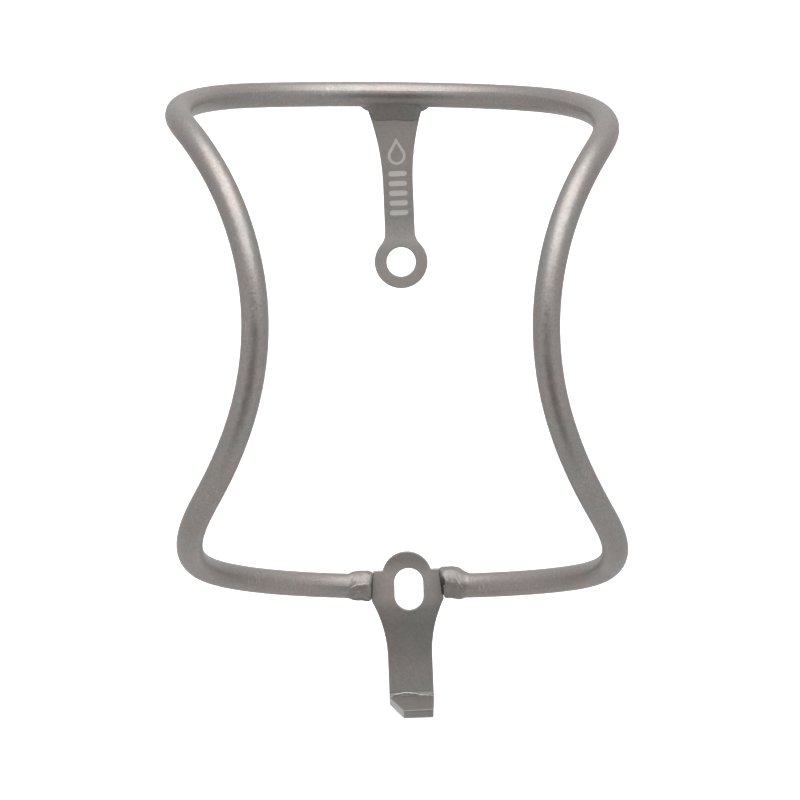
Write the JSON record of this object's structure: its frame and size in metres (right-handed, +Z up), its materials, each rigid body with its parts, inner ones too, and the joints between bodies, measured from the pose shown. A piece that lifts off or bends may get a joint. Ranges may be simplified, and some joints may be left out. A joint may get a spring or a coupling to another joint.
{
  "type": "water bottle cage",
  "caption": "Bicycle water bottle cage: one bent tube wrapped round the bottle, welded to an upper tab with a bolt hole and a lower plate with a bolt slot and a foot.",
  "frame": {"origin": "middle of the upper bolt hole, on the face that lies against the bicycle", "axes": "+Z up along the bottle's axis, +Y towards the bicycle, +X to the right of someone facing the open side"},
  "size_m": [0.0822, 0.0744, 0.1227],
  "materials": {
    "tube": "bead-blasted titanium tube, satin",
    "sheet": "bead-blasted titanium sheet, satin",
    "weld": "bead-blasted titanium weld, satin"
  },
  "bodies": {
    "root": {"cage_tube": "tube", "upper_tab": "sheet", "lower_plate": "sheet", "left_tube_weld": "weld", "right_tube_weld": "weld", "tab_weld": "weld"}
  },
  "joints": []
}
